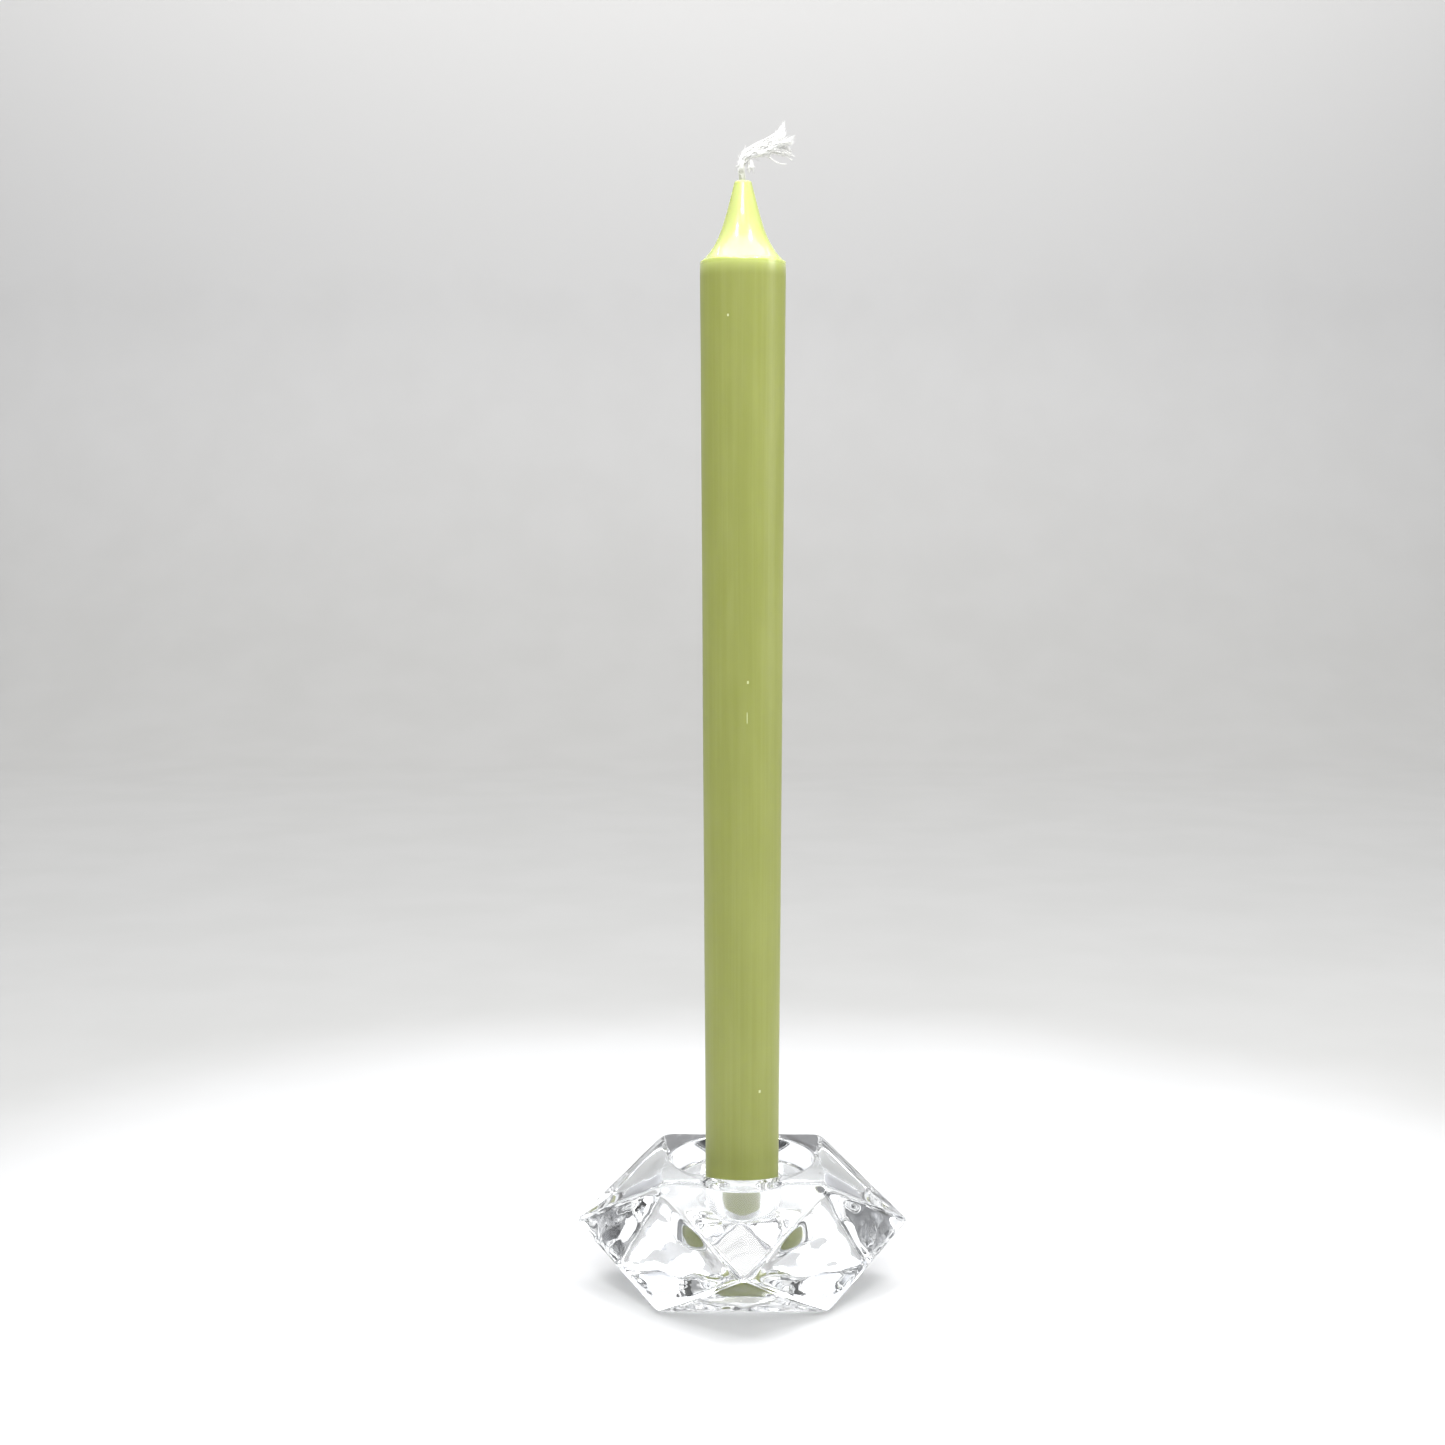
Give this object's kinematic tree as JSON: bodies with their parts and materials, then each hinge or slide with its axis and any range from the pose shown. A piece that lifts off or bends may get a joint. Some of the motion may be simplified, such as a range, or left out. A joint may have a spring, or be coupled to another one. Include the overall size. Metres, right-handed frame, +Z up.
{
  "type": "glass candle holder with dinner candle",
  "caption": "Low faceted clear-glass candle holder with a round tealight well and a central socket that holds a tall green dinner candle.",
  "frame": {"origin": "centre of the glass base, on the surface it stands on", "axes": "+Z up along the candle; one waist point of the glass faces -Y, towards the front, and one faces +X"},
  "size_m": [0.0956, 0.0956, 0.3322],
  "materials": {
    "clear_glass": "fire-polished pressed glass",
    "green_wax": "semi-matt stearin wax with a glossy tip",
    "cotton_wick": "braided cotton, frayed at the end"
  },
  "bodies": {
    "holder": {"glass_holder": "clear_glass"},
    "candle": {"candle_wax": "green_wax", "wick": "cotton_wick"}
  },
  "joints": [
    {"name": "candle_lift", "type": "slide", "parent": "holder", "child": "candle", "axis": [0, 0, 1], "range_m": [0, 0.04]}
  ]
}
